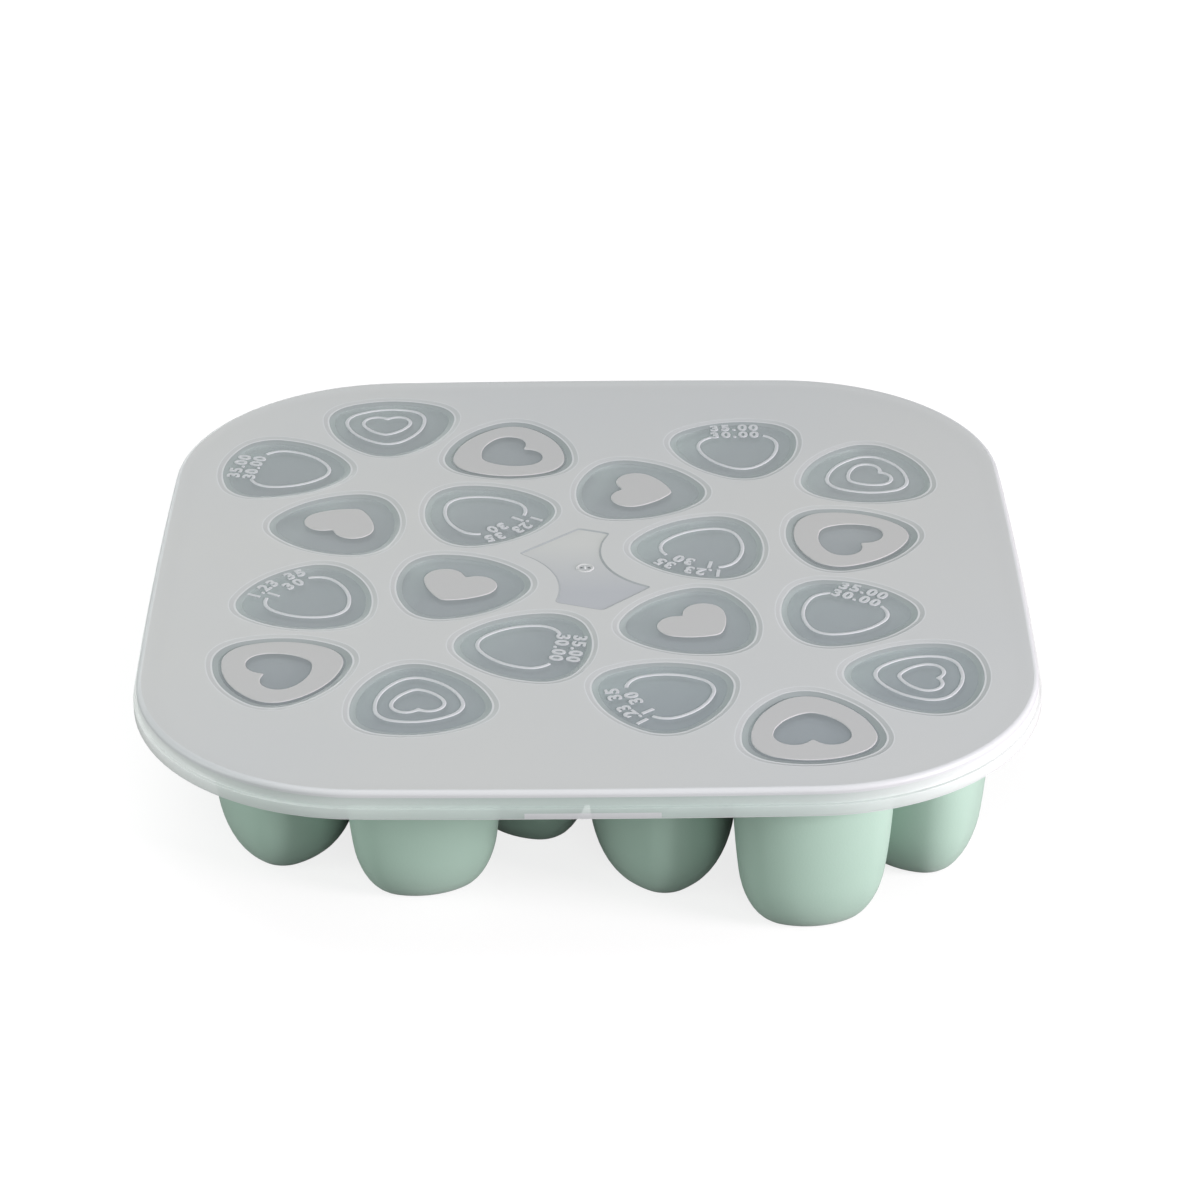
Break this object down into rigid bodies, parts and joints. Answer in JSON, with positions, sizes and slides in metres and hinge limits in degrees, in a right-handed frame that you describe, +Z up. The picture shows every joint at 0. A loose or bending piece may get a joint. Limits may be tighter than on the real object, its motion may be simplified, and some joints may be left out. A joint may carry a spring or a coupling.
{
  "type": "freezer tray",
  "caption": "Soft silicone freezer tray of rounded-triangle cups for portions of baby food, with a translucent lid that clips over the rim.",
  "frame": {"origin": "middle of the tray on the surface that the cups stand on", "axes": "+Z up through the lid, -Y towards the front edge with the thumb catch, +X to the right"},
  "size_m": [0.2204, 0.2204, 0.049],
  "materials": {
    "silicone": "satin, soft moulded silicone, sage green",
    "lid_plastic": "frosted translucent polypropylene with polished windows"
  },
  "bodies": {
    "tray": {"cup_01": "silicone", "cup_02": "silicone", "cup_03": "silicone", "cup_04": "silicone", "cup_05": "silicone", "cup_06": "silicone", "cup_07": "silicone", "cup_08": "silicone", "cup_09": "silicone", "cup_10": "silicone", "cup_11": "silicone", "cup_12": "silicone", "cup_13": "silicone", "cup_14": "silicone", "cup_15": "silicone", "cup_16": "silicone", "cup_17": "silicone", "cup_18": "silicone", "cup_19": "silicone", "cup_20": "silicone", "tray_deck": "silicone", "tray_rim": "silicone"},
    "lid": {"lid_plate": "lid_plastic", "lid_skirt": "lid_plastic", "lid_snap_beads": "lid_plastic"}
  },
  "joints": [
    {"name": "lid_lift", "type": "slide", "parent": "tray", "child": "lid", "axis": [0, 0, 1], "range_m": [0, 0.06]}
  ]
}
